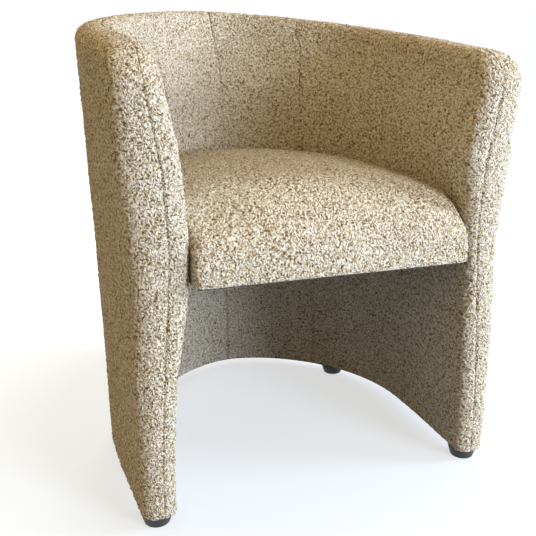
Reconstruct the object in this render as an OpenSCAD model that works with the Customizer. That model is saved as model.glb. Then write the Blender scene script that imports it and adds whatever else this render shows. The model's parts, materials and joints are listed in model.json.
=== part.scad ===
// Tub chair: one padded wall bends round the seat, stands on four glides and carries a fixed seat.
// X runs across the chair, Y from the front to the back, Z up from the floor. Lengths are in mm.
// The wall is a lofted skin: a floor plan is stretched backwards with height, and each layer
// (cover, foam, board) lies at its own distance from that plan.

/* [Shell plan] */
// Inner width between the arm fronts, at the floor
arm_gap_w = 466; // [450:1:480]
// Widest inner width, at the floor
inner_w = 488; // [480:1:510]
// Distance from the arm fronts back to the widest place
widest_y = 221; // [200:1:240]
// Inner depth from the arm fronts to the back, at the floor
inner_depth = 507; // [490:1:540]

/* [Shell height] */
// Height of the rim above the arm fronts
front_h = 645; // [630:1:670]
// Height of the rim at the back
back_h = 750; // [730:1:780]
// Height of the shell's lower edge above the floor
foot_h = 19; // [14:1:24]
// Lean of the back, in degrees
back_rake = 5.5; // [4:0.5:7]
// Corner radius between an arm front and the rim
corner_r = 50; // [45:1:60]

/* [Padded wall] */
// Thickness of the wall at the floor
wall_t = 48.5; // [47.5:0.5:54]
// How much thicker the wall grows up to the rim
wall_flare = 13; // [10:1:20]
// How far the arms' outer face is drawn in beside the seat's front edge
arm_waist = 7; // [0:0.5:8]
// Height over which it is drawn in
waist_h = 270; // [240:5:300]
// How far the arm padding swells inwards
arm_bulge = 23; // [16:1:26]
// How far the back padding swells inwards
back_bulge = 38; // [30:1:44]
// Height at which the padding is fullest
bulge_z = 480; // [460:1:490]
// Height below the rim over which the padding thins out
bulge_fall = 160; // [140:1:180]
// Distance of the joining seam behind the inner face
seam_in = 21.5; // [19:0.5:24]
// Rounding of the edges towards the inner face
inner_round = 18; // [15:1:22]
// Rounding of the edges towards the outer face
outer_round = 26; // [20:1:32]
// Thickness of the cover fabric
cover_t = 2; // [1.6:0.1:2.4]
// Clearance that soft layers keep from each other and from the boards
soft_gap = 0.3; // [0.3:0.05:0.5]

/* [Shell frame] */
// Distance of the inner board behind the inner face, at the floor
inner_board_e = 7; // [6:0.5:8]
// Thickness of the bent boards
board_t = 3; // [2:0.5:3.5]
// Width of the plywood ribs across the wall
rib_w = 26; // [22:1:27]
// Thickness of the plywood ribs
rib_t = 18; // [15:1:20]
// Distance of the boards from the ribs
rib_gap = 1; // [0.9:0.1:1.2]
// Height of the seat rib's lower face
seat_rib_z = 338; // [320:1:342]
// Width of the studs along the wall
stud_w = 40; // [30:1:46]
// Width of the front posts along the wall
post_w = 36; // [30:1:40]

/* [Seat] */
// Height of the seat's lower edge
seat_z = 349; // [345:1:360]
// How far the seat stands in front of the arm fronts
seat_proud = 12; // [6:1:20]
// Height of the seat beside the arms, at the front
seat_front_z = 442; // [436:1:450]
// Height of the seat at the back
seat_back_z = 475; // [465:1:480]
// Crown of the seat above its edges
seat_crown = 20; // [12:1:28]
// Depth of the rolled front edge
seat_roll_d = 112; // [100:1:125]
// Height at which the rolled front edge starts
seat_roll_z = 378; // [374:1:384]
// Rounding of the seat's side edges
seat_round = 14; // [10:1:18]
// Radius of the seat's upright front corners
seat_corner_r = 14; // [10:1:18]
// Clearance of the seat from the padded wall
seat_gap = 1; // [0.6:0.1:2]

/* [Seat frame] */
// Thickness of the two plywood seat rings
ring_t = 15; // [12:1:16]
// Width of the seat rings
ring_w = 46; // [40:1:56]
// Height of the blocks between the seat rings
block_h = 24; // [22:1:26]
// Depth of the blocks between the seat rings
block_d = 30; // [26:1:36]
// Width of the blocks along the seat's edge
block_w = 36; // [30:1:40]
// Foam thickness between the frame and the seat's sides
side_foam = 18; // [15:1:22]
// Foam thickness between the frame and the seat's front
front_foam = 34; // [32:1:40]

/* [Springs] */
// Wire diameter of the springs
wire_d = 3.6; // [3:0.1:4]
// Length of a spring's straight bars
spring_bar = 26; // [20:1:30]
// Distance from one bar of a spring to the next
spring_pitch = 22; // [19:1:26]
// Distance between neighbouring springs
spring_space = 76; // [66:1:80]
// Thickness of the felt over the springs
felt_t = 3; // [2:0.5:3.5]

/* [Fasteners and glides] */
// Diameter of the seat bolts
bolt_d = 8; // [6:1:8]
// Diameter of the threaded inserts
insert_d = 12; // [11:0.5:13]
// Diameter of a glide at its top
glide_d = 46; // [38:1:46]
// Diameter of a glide at the floor
glide_foot_d = 38; // [30:1:38]
// Distance of the front glides behind the arm fronts
glide_front_y = 30; // [26:1:40]
// Diameter of the glide screws
screw_d = 5; // [4:0.5:6]
// Length of the glide screws
screw_l = 29; // [24:1:32]

/* [Hidden] */

// Shares of the plan curve: its side and back handles
side_handle_share = 0.605;
back_handle_share = 0.36;
// Straight share of the rim's rise from front to back
rim_straight_share = 0.85;
// Powers of the wall's swelling, of its flare and of the rounded edges
bulge_power = 2.6;
flare_power = 1.6;
round_power = 2.6;
// Least share of the corner's rise, so that no edge has zero length
corner_share = 0.012;

// Columns of the wall along the plan: 0 to 1 front edge, 1 to 2 side, 2 to 3 back
front_shares = [0, 0.03, 0.1, 0.22, 0.413, 0.497, 0.7, 1];
side_shares = [1.3, 1.65, 2];
back_shares = [2.1, 2.2, 2.3, 2.41, 2.52, 2.62, 2.72, 2.81, 2.9, 3];
// The column of the side seams, and of the last pad column that has no board behind it
seam_share = 2.52;
pad_front_share = 0.413;
// Rows of the wall: 0 to 1 up to the corner, 1 to 2 over the rim
row_shares = [0, 0.22, 0.44, 0.6, 0.73, 0.84, 0.93, 1, 1.2, 1.28, 1.5, 1.72, 1.9, 1.975, 2];
pad_top_share = 1.28;
// Columns where the boards and ribs start, and the studs and bolts stand
frame_share = 0.53;
rib_shares = [frame_share, 0.7, 1, 1.3, 1.65, 2, 2.1, 2.2, 2.3, 2.41, 2.52, 2.62, 2.72, 2.81, 2.9, 3];
rim_rib_shares = [1, 1.3, 1.65, 2, 2.1, 2.2, 2.3, 2.41, 2.52, 2.62, 2.72, 2.81, 2.9, 3];
post_share = 0.89;
stud_shares = [1.9, 2.62];
bolt_shares = [post_share, 2.62];
glide_back_share = 2.4;

half_gap = arm_gap_w / 2;
half_w = inner_w / 2;
side_handle = side_handle_share * (inner_depth - widest_y);
back_handle = back_handle_share * half_w;
lean_slope = tan(back_rake) / inner_depth;

// Distances of the frame's layers from the inner face at the floor
rib_e = inner_board_e + board_t + rib_gap;
outer_board_e = rib_e + rib_w + rib_gap;
// Half of the clearance between the inner and the outer covers at their seam
seam_gap = soft_gap / 2;
pad_in = cover_t + soft_gap;
pad_lip = 2 * soft_gap;
// Depth of the foam roll over the rim, down to the boards and to the rim rib
board_drop = 0.85 * corner_r;
// The rim sags below a straight line from front to back by this much at its middle
rim_sag = (1 - rim_straight_share) / 4 * (back_h - front_h);
rim_rib_drop = 0.84 * corner_r + rim_sag;
overrun = rib_t;
waist_z = (seat_z + seat_roll_z) / 2;

function plan_y(q, inset) =
    q <= 1 ? inset + (corner_r - inset) * q : corner_r + (widest_y - corner_r) * (q - 1);
function side_pt(y) = [half_gap + (half_w - half_gap) * sin(90 * y / widest_y), y];
function side_slope(y) = (half_w - half_gap) * cos(90 * y / widest_y) * PI / 2 / widest_y;
back_handles = [
    [half_w, widest_y], [half_w, widest_y + side_handle], [back_handle, inner_depth], [0, inner_depth]
];
function bend_pt(t) =
    let (u = 1 - t, p = back_handles)
    u * u * u * p[0] + 3 * u * u * t * p[1] + 3 * u * t * t * p[2] + t * t * t * p[3];
function bend_dir(t) =
    let (u = 1 - t, p = back_handles)
    u * u * (p[1] - p[0]) + 2 * u * t * (p[2] - p[1]) + t * t * (p[3] - p[2]);
function unit(v) = v / norm(v);
// A point of the inner face's floor plan, and the plan's outward normal there
function plan_pt(q, inset = 0) = q <= 2 ? side_pt(plan_y(q, inset)) : bend_pt(q - 2);
function plan_normal(q, inset = 0) =
    q <= 2
        ? unit([1, -side_slope(plan_y(q, inset))])
        : let (d = bend_dir(q - 2)) unit([d.y, -d.x]);
// How much the plan is stretched backwards at a height
function lean(z) = 1 + lean_slope * z;
// The plan point at a height, moved outwards by e; s is 1 on the right and -1 on the left
function layer_pt(q, e, z, s = 1, inset = 0) =
    let (p = plan_pt(q, inset), n = plan_normal(q, inset))
    [s * (p.x + n.x * e), p.y * lean(z) + n.y * e];

function smooth(t) = let (k = min(max(t, 0), 1)) k * k * (3 - 2 * k);
function rim_z(y) =
    let (r = y / inner_depth)
    front_h + (back_h - front_h) * (rim_straight_share * r + (1 - rim_straight_share) * r * r);
function bulge(y, z) =
    (arm_bulge + (back_bulge - arm_bulge) * pow(y / inner_depth, 2))
    * pow(sin(90 * min(z / bulge_z, 1)), bulge_power) * smooth((rim_z(y) - z) / bulge_fall);
function seam_e(y, z) = seam_in - bulge(y, z);
// The arms' outer face is drawn in around the height of the seat's lower front edge
function waist(y, z) =
    arm_waist * sin(90 * max(1 - abs(z - waist_z) / (waist_h / 2), 0)) * smooth(1 - y / widest_y);
function outer_e(y, z) = wall_t + wall_flare * pow(z / rim_z(y), flare_power) - waist(y, z);
// Rounded edge: 0 at the outline, 1 from the distance r inwards
function edge_share(d, r) =
    let (k = 1 - min(max(d / r, 0), 1)) pow(1 - pow(k, round_power), 1 / round_power);
function corner_rise(f) = sqrt(1 - pow(1 - max(f, corner_share), 2));

// A point of the padded wall. c is a column [share, side], w a row share, inset the depth under
// the outer skin, z0 the lower edge, out 1 for the outer face and -1 for the inner one
function wall_z(c, w, inset, z0) =
    let (f = min(c[0], 1), rim = rim_z(plan_pt(c[0], inset).y))
    w <= 1
        ? z0 + (rim - corner_r - z0) * w
        : rim - corner_r + (corner_r - inset) * (w - 1) * corner_rise(f);
function wall_pt(c, w, inset, z0, out, lip = 0) =
    let (
        f = min(c[0], 1),
        y = plan_pt(c[0], inset).y,
        z = wall_z(c, w, inset, z0),
        d = (corner_r - inset) * (1 - norm([1 - f, max(w - 1, 0) * corner_rise(f)])),
        half = out > 0 ? outer_e(y, z) - seam_e(y, z) - inset : seam_in - inset,
        r = (out > 0 ? outer_round : inner_round) - inset,
        least = seam_gap + lip,
        e = seam_e(y, z) + out * (least + (half - least) * edge_share(d, r)),
        p = layer_pt(c[0], e, z, c[1], inset)
    )
    [p.x, p.y, z];
// The face of a pad that lies against a board, or against the other pad beyond the boards
function pad_back_pt(c, w, z0, out) =
    let (
        y = plan_pt(c[0], pad_in).y,
        z = wall_z(c, w, pad_in, z0),
        free = c[0] <= pad_front_share || w >= pad_top_share,
        board_e = out > 0 ? outer_board_e + board_t + soft_gap : inner_board_e - soft_gap,
        e = free ? seam_e(y, z) + out * seam_gap : board_e,
        p = layer_pt(c[0], e, z, c[1], pad_in)
    )
    [p.x, p.y, z];

// Columns from q0 on the right to q1, mirrored to the left where q1 goes past the back
right_columns = [for (q = concat(front_shares, side_shares, back_shares)) [q, 1]];
left_columns = [for (i = [len(right_columns) - 2:-1:0]) [right_columns[i][0], -1]];
all_columns = concat(right_columns, left_columns);
// Half of the gap between neighbouring panels, as a share of the plan curve
panel_gap_share = seam_gap / inner_depth;
function columns_between(a, b, s) =
    concat(
        [[a, s]],
        [for (c = right_columns) if (c[0] > a + panel_gap_share && c[0] < b - panel_gap_share) [c[0], s]],
        [[b, s]]
    );
function backwards(list) = [for (i = [len(list) - 1:-1:0]) list[i]];
arm_columns = columns_between(0, seam_share - panel_gap_share, 1);
arm_columns_left = backwards(columns_between(0, seam_share - panel_gap_share, -1));
back_columns = columns_between(seam_share + panel_gap_share, 3 - panel_gap_share, 1);
back_columns_left = backwards(columns_between(seam_share + panel_gap_share, 3 - panel_gap_share, -1));
back_pad_right = columns_between(seam_share + panel_gap_share, 3, 1);
back_pad_left = backwards(columns_between(seam_share + panel_gap_share, 3, -1));
back_pad_columns = concat(back_pad_right, [for (i = [1:len(back_pad_left) - 1]) back_pad_left[i]]);

// Highest reach of the outer skin to the back, and the shift that centres the chair on the origin
back_reach = max([for (w = row_shares) wall_pt([3, 1], w, 0, foot_h, 1).y]);
centre_y = (back_reach - seat_proud) / 2;

// A closed solid between an outer grid a and an inner grid b of points
module sheet_solid(a, b) {
    n = len(a);
    m = len(a[0]);
    points = concat([for (col = a) each col], [for (col = b) each col]);
    function at(i, j) = i * m + j;
    function under(i, j) = n * m + i * m + j;
    function quad(p, q, r, t) = [[p, q, r], [p, r, t]];
    skins = [
        for (i = [0:n - 2]) for (j = [0:m - 2])
        each concat(
            quad(at(i, j), at(i, j + 1), at(i + 1, j + 1), at(i + 1, j)),
            quad(under(i, j), under(i + 1, j), under(i + 1, j + 1), under(i, j + 1))
        )
    ];
    edges = [
        for (i = [0:n - 2])
        each concat(
            quad(at(i, 0), at(i + 1, 0), under(i + 1, 0), under(i, 0)),
            quad(at(i + 1, m - 1), at(i, m - 1), under(i, m - 1), under(i + 1, m - 1))
        )
    ];
    ends = [
        for (j = [0:m - 2])
        each concat(
            quad(at(0, j + 1), at(0, j), under(0, j), under(0, j + 1)),
            quad(at(n - 1, j), at(n - 1, j + 1), under(n - 1, j + 1), under(n - 1, j))
        )
    ];
    polyhedron(points, concat(skins, edges, ends), convexity = 6);
}

module centred() {
    translate([0, -centre_y, 0]) children();
}
module both_sides() {
    children();
    mirror([1, 0, 0]) children();
}

// Puts the child on the plan at a column and height, with its X axis along the outward normal
module at_wall(q, z) {
    p = plan_pt(q);
    n = plan_normal(q);
    translate([p.x, p.y * lean(z), z]) rotate([0, 0, atan2(n.y, n.x)]) children();
}

// Covers and pads
module inner_skin(columns) {
    sheet_solid(
        [for (c = columns) [for (w = row_shares) wall_pt(c, w, cover_t, foot_h, -1)]],
        [for (c = columns) [for (w = row_shares) wall_pt(c, w, 0, foot_h, -1)]]
    );
}
module inner_pad(columns) {
    z0 = foot_h + pad_in;
    sheet_solid(
        [for (c = columns) [for (w = row_shares) pad_back_pt(c, w, z0, -1)]],
        [for (c = columns) [for (w = row_shares) wall_pt(c, w, pad_in, z0, -1, pad_lip)]]
    );
}
module arm_cover_left() {
    centred() color("tan")
        difference() {
            inner_skin(arm_columns_left);
            mirror([1, 0, 0]) bolt_hole(bolt_shares[0]);
        }
}
module arm_cover_right() {
    centred() color("tan")
        difference() {
            inner_skin(arm_columns);
            bolt_hole(bolt_shares[0]);
        }
}
module back_cover_left() {
    centred() color("tan")
        difference() {
            inner_skin(back_columns_left);
            mirror([1, 0, 0]) bolt_hole(bolt_shares[1]);
        }
}
module back_cover_right() {
    centred() color("tan")
        difference() {
            inner_skin(back_columns);
            bolt_hole(bolt_shares[1]);
        }
}
module arm_pad_left() {
    centred() color("khaki")
        difference() {
            inner_pad(arm_columns_left);
            mirror([1, 0, 0]) bolt_hole(bolt_shares[0]);
        }
}
module arm_pad_right() {
    centred() color("khaki")
        difference() {
            inner_pad(arm_columns);
            bolt_hole(bolt_shares[0]);
        }
}
module back_pad() {
    centred() color("khaki")
        difference() {
            inner_pad(back_pad_columns);
            both_sides() bolt_hole(bolt_shares[1]);
        }
}
module outer_pad() {
    z0 = foot_h + pad_in;
    centred() color("khaki")
        sheet_solid(
            [for (c = all_columns) [for (w = row_shares) wall_pt(c, w, pad_in, z0, 1, pad_lip)]],
            [for (c = all_columns) [for (w = row_shares) pad_back_pt(c, w, z0, 1)]]
        );
}
// The columns run backwards here, so the two grids change places
module outer_cover() {
    columns = backwards(all_columns);
    centred() color("tan")
        sheet_solid(
            [for (c = columns) [for (w = row_shares) wall_pt(c, w, cover_t, foot_h, 1)]],
            [for (c = columns) [for (w = row_shares) wall_pt(c, w, 0, foot_h, 1)]]
        );
}

// Frame of the shell
function band(shares, e0, e1, z, inset = 0) =
    concat(
        [for (q = shares) layer_pt(q, e1, z, 1, inset)],
        [for (q = backwards(shares)) layer_pt(q, e1, z, -1, inset)],
        [for (q = shares) layer_pt(q, e0, z, -1, inset)],
        [for (q = backwards(shares)) layer_pt(q, e0, z, 1, inset)]
    );
// The repeated point at the back centre is dropped
function without_repeats(list) =
    [for (i = [0:len(list) - 1]) if (norm(list[i] - list[(i + 1) % len(list)]) > soft_gap / 10) list[i]];
module flat_rib(z) {
    translate([0, 0, z])
        linear_extrude(rib_t)
            polygon(without_repeats(band(rib_shares, rib_e, rib_e + rib_w, z + rib_t / 2)));
}
module base_rib() {
    centred() color("burlywood")
        difference() {
            flat_rib(foot_h + cover_t);
            each_glide() glide_screw_hole();
        }
}
module seat_rib() {
    centred() color("burlywood") flat_rib(seat_rib_z);
}
// The rim rib is cut flat and tilted, so that it follows the rising rim
rim_slope = (back_h - front_h) / (inner_depth * lean(back_h));
rim_tilt = atan(rim_slope);
rim_rib_z = front_h - rim_rib_drop - rib_t / 2 / cos(rim_tilt);
rim_rib_trim = rib_t / 2 * tan(rim_tilt + back_rake);
function tilted_pt(q, e, s) =
    let (p = plan_pt(q), n = plan_normal(q), y = p.y * lean(rim_rib_z) + n.y * e)
    [s * (p.x + n.x * e), y / (1 - p.y * rim_slope * lean_slope) / cos(rim_tilt)];
module tilt_to_rim() {
    translate([0, 0, rim_rib_z]) rotate([rim_tilt, 0, 0]) children();
}
module rim_rib() {
    e0 = rib_e + rim_rib_trim;
    e1 = rib_e + rib_w - rim_rib_trim;
    q = rim_rib_shares;
    points = concat(
        [for (a = q) tilted_pt(a, e1, 1)],
        [for (a = backwards(q)) tilted_pt(a, e1, -1)],
        [for (a = q) tilted_pt(a, e0, -1)],
        [for (a = backwards(q)) tilted_pt(a, e0, 1)]
    );
    centred() color("burlywood")
        tilt_to_rim()
            translate([0, 0, -rib_t / 2])
                linear_extrude(rib_t)
                    polygon(without_repeats(points));
}
// Everything above the lower face of the rim rib
module over_rim_rib() {
    tilt_to_rim()
        translate([-inner_w, -inner_depth, -rib_t / 2])
            cube([2 * inner_w, 3 * inner_depth, back_h]);
}
module bent_board(e) {
    z0 = foot_h + cover_t;
    function edge(q, s, d) =
        let (z1 = rim_z(plan_pt(q).y) - board_drop, lo = layer_pt(q, d, z0, s), hi = layer_pt(q, d, z1, s))
        [[lo.x, lo.y, z0], [hi.x, hi.y, z1]];
    columns = concat([for (q = rib_shares) [q, 1]],
        [for (i = [len(rib_shares) - 2:-1:0]) [rib_shares[i], -1]]);
    sheet_solid([for (c = columns) edge(c[0], c[1], e + board_t)], [for (c = columns) edge(c[0], c[1], e)]);
}
module inner_board() {
    centred() color("peru")
        difference() {
            bent_board(inner_board_e);
            both_sides() for (q = bolt_shares) bolt_hole(q);
        }
}
module outer_board() {
    centred() color("peru") bent_board(outer_board_e);
}
// An upright of the wall between two heights, leaning with the wall
module upright(q, width, depth, z0, z1) {
    p = plan_pt(q);
    n = plan_normal(q);
    shift = p.y * lean_slope * n.y * (z1 - z0);
    at_wall(q, z0)
        translate([rib_e, width / 2, 0])
            rotate([90, 0, 0])
                linear_extrude(width)
                    polygon([[0, 0], [depth, 0], [depth + shift, z1 - z0], [shift, z1 - z0]]);
}
// The studs are a little thinner than the ribs, because the wall curves past their flat faces
stud_d = rib_w - 2.5 * rib_gap;
module front_post() {
    difference() {
        upright(post_share, post_w, rib_w - rib_gap, foot_h + cover_t + rib_t, front_h);
        over_rim_rib();
        insert_hole(post_share);
        post_notch();
    }
}
module front_post_right() {
    centred() color("burlywood") front_post();
}
module front_post_left() {
    centred() color("burlywood") mirror([1, 0, 0]) front_post();
}
// Room for the seat rib, whose ends are let into the posts
module post_notch() {
    translate([0, 0, seat_rib_z - soft_gap / 10])
        linear_extrude(rib_t + soft_gap / 5)
            polygon(without_repeats(
                band(rib_shares, rib_e - rib_gap / 2, rib_e + rib_w + rib_gap / 2, seat_rib_z + rib_t / 2)));
}
module stud_set(z0, z1) {
    both_sides() for (q = stud_shares) upright(q, stud_w, stud_d, z0, z1);
    upright(3, stud_w, stud_d, z0, z1);
}
module lower_studs() {
    centred() color("burlywood") stud_set(foot_h + cover_t + rib_t, seat_rib_z);
}
module upper_studs() {
    centred() color("burlywood")
        difference() {
            stud_set(seat_rib_z + rib_t, back_h);
            over_rim_rib();
            both_sides() insert_hole(bolt_shares[1]);
        }
}
// Outline of the wall's foot, at a depth under the covers
function foot_outline(inset) = concat(
    [for (c = all_columns) let (p = wall_pt(c, 0, inset, foot_h, 1)) [p.x, p.y]],
    [for (c = backwards(all_columns)) let (p = wall_pt(c, 0, inset, foot_h, -1)) [p.x, p.y]]
);
module base_cloth() {
    centred() color("dimgray")
        difference() {
            translate([0, 0, foot_h])
                linear_extrude(cover_t - soft_gap)
                    polygon(foot_outline(pad_in));
            each_glide() glide_screw_hole();
        }
}

// Seat
function wall_reach(q, z) =
    let (y = plan_pt(q).y) y * lean(z) * plan_normal(q).y - bulge(y, z);
// Distance of the seat's side from the stretched plan, where the wall comes closest to the seat
seat_reach_shares = [0, 0.25, 0.5, 0.75, 1];
function seat_e(q) =
    min([for (k = seat_reach_shares) wall_reach(q, seat_z + (seat_back_z - seat_z) * k)])
    - plan_pt(q).y * lean(seat_z) * plan_normal(q).y - seat_gap;
seat_shares = [0.5, 1, 1.3, 1.65, 2, 2.1, 2.2, 2.3, 2.41, 2.52, 2.62, 2.72, 2.81, 2.9, 3];
function seat_pt(q, inset, s) = layer_pt(q, seat_e(q) - inset, seat_z, s);
seat_half_w = half_gap + seat_e(0);
seat_front_y = -seat_proud;
seat_depth = seat_pt(3, 0, 1).y - seat_front_y;
corner_steps = 4;
front_steps = 8;
function corner_pt(a, inset, s) =
    let (r = seat_corner_r - inset)
    [s * (seat_half_w - seat_corner_r + r * cos(a)), seat_front_y + seat_corner_r - r * sin(a)];
function seat_outline(inset) = concat(
    [for (i = [corner_steps:-1:0]) corner_pt(90 * i / corner_steps, inset, 1)],
    [for (q = seat_shares) seat_pt(q, inset, 1)],
    [for (i = [len(seat_shares) - 2:-1:0]) seat_pt(seat_shares[i], inset, -1)],
    [for (i = [0:corner_steps]) corner_pt(90 * i / corner_steps, inset, -1)],
    [for (i = [1:front_steps - 1])
        [(seat_half_w - seat_corner_r) * (2 * i / front_steps - 1), seat_front_y + inset]]
);
seat_middle = [0, seat_front_y + 0.47 * seat_depth];
ring_shares = [0, 0.02, 0.06, 0.13, 0.22, 0.33, 0.46, 0.62, 0.8];
side_rise_power = 0.85;
front_drop = 0.85 * seat_round;
// Half widths of the seat against the distance from the front
seat_half_widths = [for (p = seat_outline(0)) if (p.x >= 0 && p.y > seat_front_y) [p.y, p.x]];
// The crown fades to nothing at the seat's sides and at its back
function crown_at(p) =
    let (
        across = min(abs(p.x) / max(lookup(p.y, seat_half_widths), seat_round), 1),
        behind = max((p.y - seat_middle.y) / (seat_depth + seat_front_y - seat_middle.y), 0)
    )
    seat_crown * (1 - pow(across, 2)) * (1 - pow(behind, 2));
// Height of the seat's skin at a point; k is 0 at the outline and 1 in the middle
function seat_skin_z(p, k, inset) =
    let (
        dy = max(p.y - seat_front_y - inset, 0),
        side = seat_front_z + (seat_back_z - seat_front_z) * pow(dy / seat_depth, side_rise_power),
        crown = crown_at(p),
        roll = sqrt(1 - pow(1 - min(dy / seat_roll_d, 1), 2)),
        edge = k < 1 ? edge_share(k / (1 - k) * norm(p - seat_middle), seat_round) : 1
    )
    seat_roll_z + (side + crown - seat_roll_z) * roll - front_drop * (1 - edge) - inset;
function seat_ring(k, inset) = [
    for (p = seat_outline(inset))
    let (r = p + (seat_middle - p) * k) [r.x, r.y, seat_skin_z(r, k, inset)]
];
// How far the front face is drawn in at half its height
front_draw = 0.15 * seat_round;
function flat_ring(inset, z, share) = [
    for (p = seat_outline(inset))
    let (
        top = seat_skin_z(p, 0, inset),
        front = max(1 - (p.y - seat_front_y) / seat_corner_r, 0)
    )
    [p.x, p.y + front_draw * front * 4 * share * (1 - share), z + (top - z) * share]
];
function seat_rings(inset, z) = concat(
    [flat_ring(inset, z, 0), flat_ring(inset, z, 0.5)],
    [for (k = ring_shares) seat_ring(k, inset)]
);
function seat_peak(inset) = [seat_middle.x, seat_middle.y, seat_skin_z(seat_middle, 1, inset)];
function ring_faces(n, m, base, peak) = concat(
    [for (k = [0:m - 2]) for (i = [0:n - 1])
        let (a = base + k * n + i, b = base + k * n + (i + 1) % n)
        each [[a, a + n, b + n], [a, b + n, b]]],
    [for (i = [0:n - 1]) let (a = base + (m - 1) * n + i, b = base + (m - 1) * n + (i + 1) % n) [a, peak, b]]
);
module seat_block(inset, z) {
    rings = seat_rings(inset, z);
    n = len(rings[0]);
    m = len(rings);
    points = concat([for (r = rings) each r], [seat_peak(inset), [seat_middle.x, seat_middle.y, z]]);
    base = [for (i = [0:n - 1]) [i, (i + 1) % n, n * m + 1]];
    polyhedron(points, concat(ring_faces(n, m, 0, n * m), base), convexity = 4);
}
module seat_shell(inset, thickness, z) {
    outer = seat_rings(inset, z);
    inner = seat_rings(inset + thickness, z);
    n = len(outer[0]);
    m = len(outer);
    half = n * m + 1;
    points = concat(
        [for (r = outer) each r], [seat_peak(inset)],
        [for (r = inner) each r], [seat_peak(inset + thickness)]
    );
    skin = ring_faces(n, m, 0, n * m);
    lining = [for (f = ring_faces(n, m, half, half + n * m)) [f[2], f[1], f[0]]];
    rim = [for (i = [0:n - 1]) let (j = (i + 1) % n) each [[i, j, half + j], [i, half + j, half + i]]];
    polyhedron(points, concat(skin, lining, rim), convexity = 6);
}

// Heights of the seat frame's layers, from below
ring_lower_z = seat_z + cover_t;
block_z = ring_lower_z + ring_t;
ring_upper_z = block_z + block_h;
deck_z = ring_upper_z + ring_t;
clip_t = wire_d / 3;
spring_z = deck_z + clip_t + wire_d / 2 + soft_gap / 3;
felt_z = spring_z + wire_d / 2 + clip_t + soft_gap;
cavity_z = felt_z + felt_t + soft_gap;
bolt_z = block_z + block_h / 2;
frame_front_y = seat_front_y + front_foam;

function frame_outline(extra) =
    let (
        y0 = frame_front_y + extra,
        inset = side_foam + extra,
        back = [for (q = seat_shares) if (q > 1) q]
    )
    concat(
        [[seat_pt(0.5, inset, 1).x, y0]],
        [for (q = back) seat_pt(q, inset, 1)],
        [for (i = [len(back) - 2:-1:0]) seat_pt(back[i], inset, -1)],
        [[seat_pt(0.5, inset, -1).x, y0]]
    );
module plywood_ring() {
    linear_extrude(ring_t)
        difference() {
            polygon(frame_outline(0));
            polygon(frame_outline(ring_w));
        }
}
module seat_ring_lower() {
    centred() color("burlywood") translate([0, 0, ring_lower_z]) plywood_ring();
}
module seat_ring_upper() {
    centred() color("burlywood") translate([0, 0, ring_upper_z]) plywood_ring();
}
// A block's flat face stands back a little, because the foam curves past it
block_back = block_w / 24;
// Distance from the plan, at the bolts' height, to the outer face of a seat block
function block_e(q) =
    seat_e(q) - side_foam - block_back
    - plan_pt(q).y * (lean(bolt_z) - lean(seat_z)) * plan_normal(q).y;
module one_block(q) {
    at_wall(q, bolt_z)
        translate([block_e(q) - block_d, -block_w / 2, -block_h / 2])
            cube([block_d, block_w, block_h]);
}
module seat_blocks() {
    centred() color("burlywood") {
        difference() {
            both_sides() for (q = bolt_shares) one_block(q);
            both_sides() for (q = bolt_shares) along_bolt(q, block_e(q) - 2 * block_d, 0, bolt_hole_d);
        }
        one_block(3);
    }
}
rail_gap = 5 * soft_gap;
// Across the chair, a corner of a block's inner face; side is 1 or -1 along the wall
function block_corner_x(q, side) =
    let (p = plan_pt(q), n = plan_normal(q)) p.x + n.x * (block_e(q) - block_d) - side * n.y * block_w / 2;
module seat_front_rail() {
    half = min(block_corner_x(post_share, 1), block_corner_x(post_share, -1)) - rail_gap;
    centred() color("burlywood")
        translate([-half, frame_front_y, block_z])
            cube([2 * half, block_h, block_h]);
}
// Zigzag springs from the front to the back of the upper ring
hole_outline = frame_outline(ring_w);
hole_half = [for (i = [1:floor(len(hole_outline) / 2)]) hole_outline[i]];
function hole_back_y(x) =
    lookup(-abs(x), [for (p = hole_half) [-p.x, p.y]]);
clip_l = 5 * wire_d;
clip_w = 4 * wire_d;
spring_start_y = frame_front_y + ring_w - clip_l / 2;
function spring_x(i) = (i - 1.5) * spring_space;
// A spring has as many bars as it takes to reach the ring behind the hole
function spring_reach(i) =
    hole_back_y(abs(spring_x(i)) + spring_bar / 2) + clip_l / 2 - spring_start_y;
function spring_bars(i) = ceil(spring_reach(i) / spring_pitch) + 1;
function spring_l(i) = (spring_bars(i) - 1) * spring_pitch;
module spring(i) {
    pitch = spring_pitch;
    half = spring_bar / 2;
    centred() color("silver")
        translate([spring_x(i), spring_start_y, spring_z]) {
            for (k = [0:spring_bars(i) - 1])
                translate([-half, k * pitch, 0])
                    rotate([0, 90, 0])
                        cylinder(d = wire_d, h = spring_bar, $fn = 24);
            for (k = [0:spring_bars(i) - 2])
                translate([(k % 2 == 0 ? 1 : -1) * half, (k + 0.5) * pitch, 0])
                    rotate([0, 0, k % 2 == 0 ? -90 : 90])
                        rotate_extrude(angle = 180, $fn = 48)
                            translate([pitch / 2, 0])
                                circle(d = wire_d, $fn = 24);
        }
}
module seat_spring_1() { spring(0); }
module seat_spring_2() { spring(1); }
module seat_spring_3() { spring(2); }
module seat_spring_4() { spring(3); }
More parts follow.
